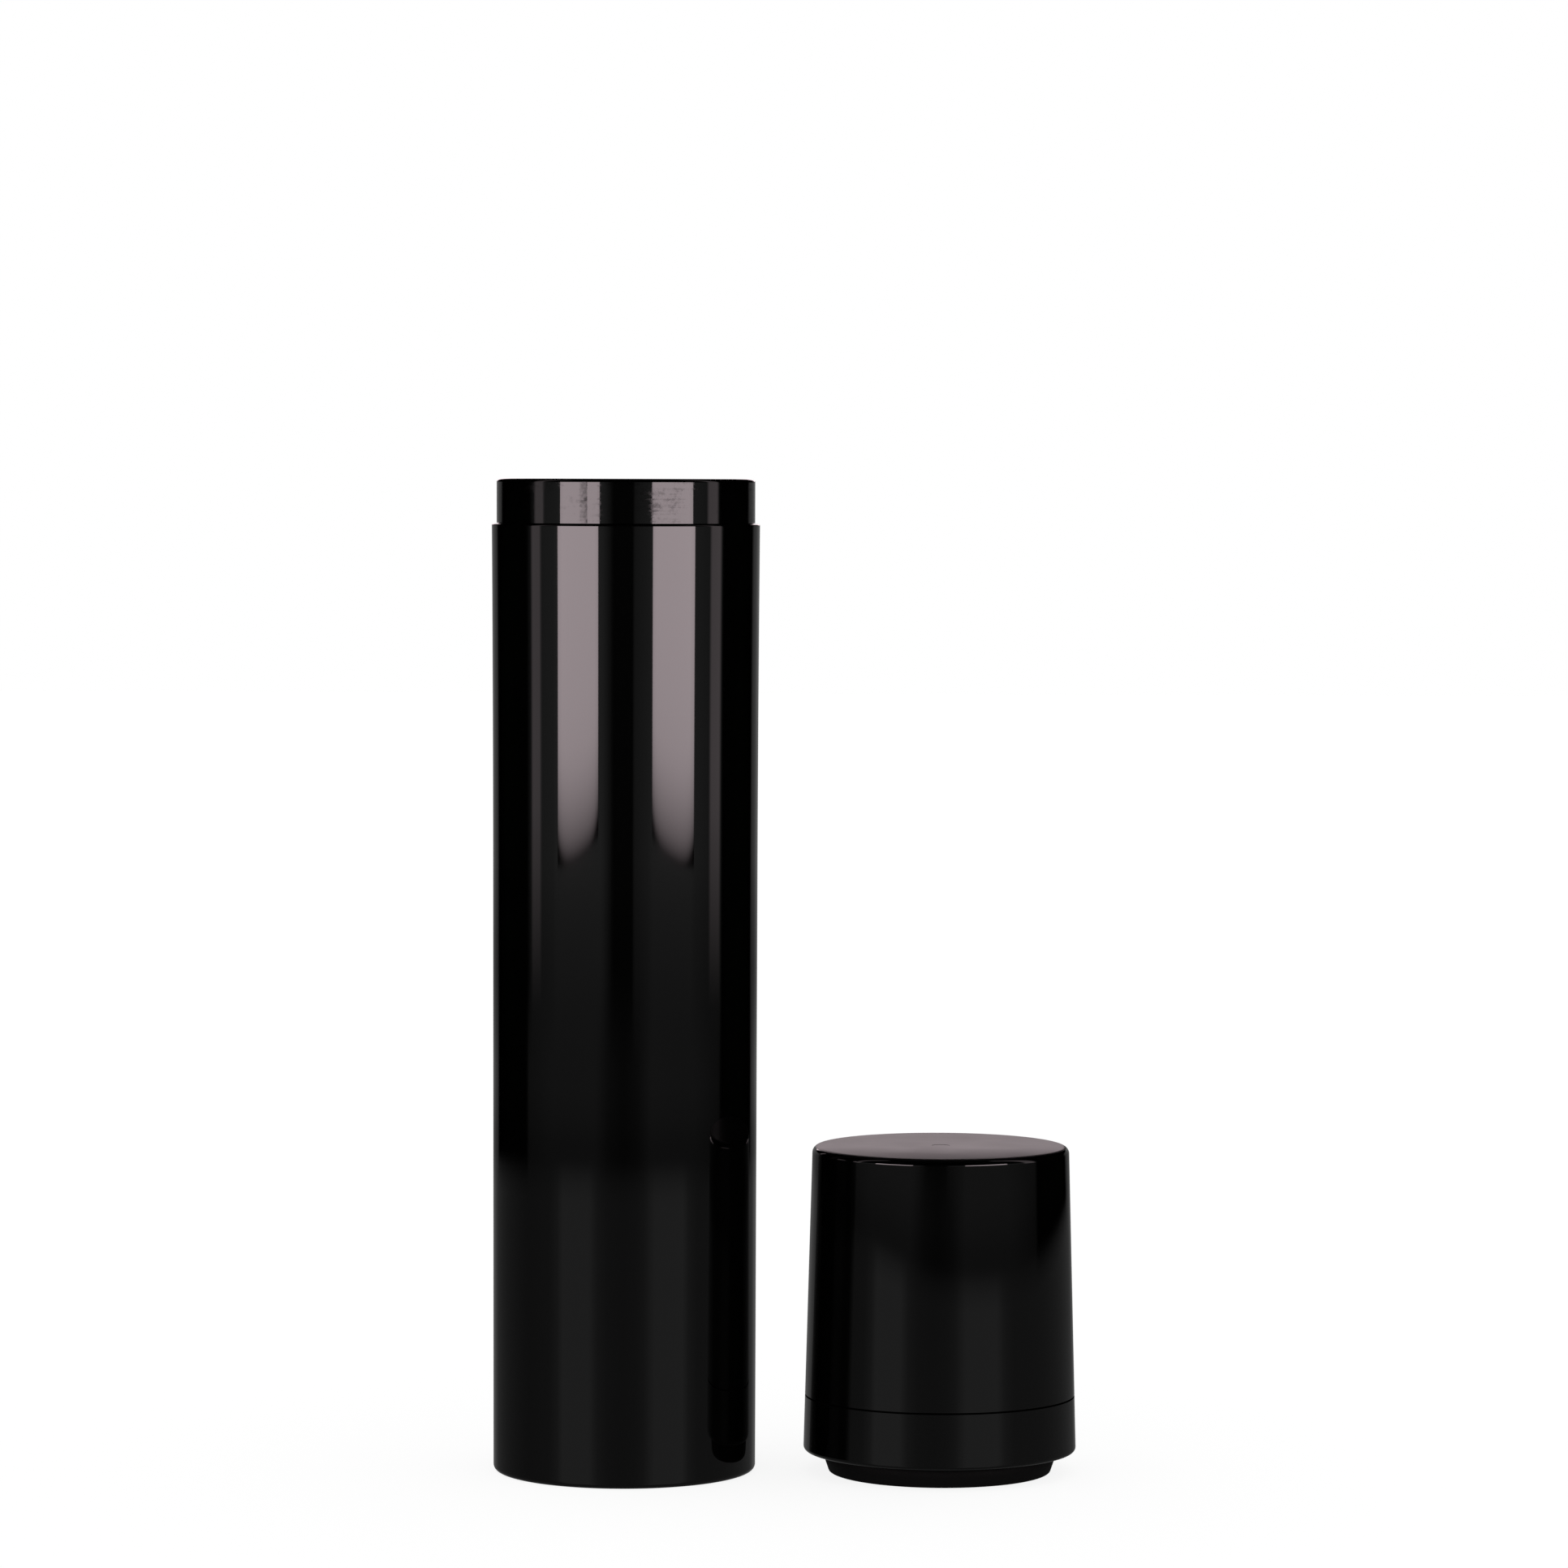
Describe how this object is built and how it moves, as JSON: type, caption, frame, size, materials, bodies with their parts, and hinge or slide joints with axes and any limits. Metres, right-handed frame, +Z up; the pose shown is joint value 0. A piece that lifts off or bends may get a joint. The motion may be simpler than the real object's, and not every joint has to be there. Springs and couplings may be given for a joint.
{
  "type": "lidded canister",
  "caption": "Tall round moulded canister with a stepped-in neck and a push-on stopper lid standing beside it.",
  "frame": {"origin": "centre of the canister's flat foot", "axes": "+Z up along the canister's axis and out of its mouth, +X towards the lid that stands beside it"},
  "size_m": [0.0789, 0.0372, 0.1336],
  "materials": {
    "shell_black": "polished mould, gloss black",
    "liner_black": "gloss black, lightly rubbed on the neck",
    "cover_black": "gloss black side, satin top face",
    "collar_black": "gloss black",
    "plug_black": "matte black, softer grade",
    "seal_grey": "smooth matt silicone"
  },
  "bodies": {
    "canister": {"outer_shell": "shell_black", "inner_liner": "liner_black"},
    "lid": {"lid_cover": "cover_black", "lid_collar": "collar_black", "lid_plug": "plug_black", "seal_ring": "seal_grey"}
  },
  "joints": [
    {"name": "lid_lift", "type": "slide", "parent": "canister", "child": "lid", "axis": [0, 0, 1], "range_m": [0, 0.138]}
  ]
}
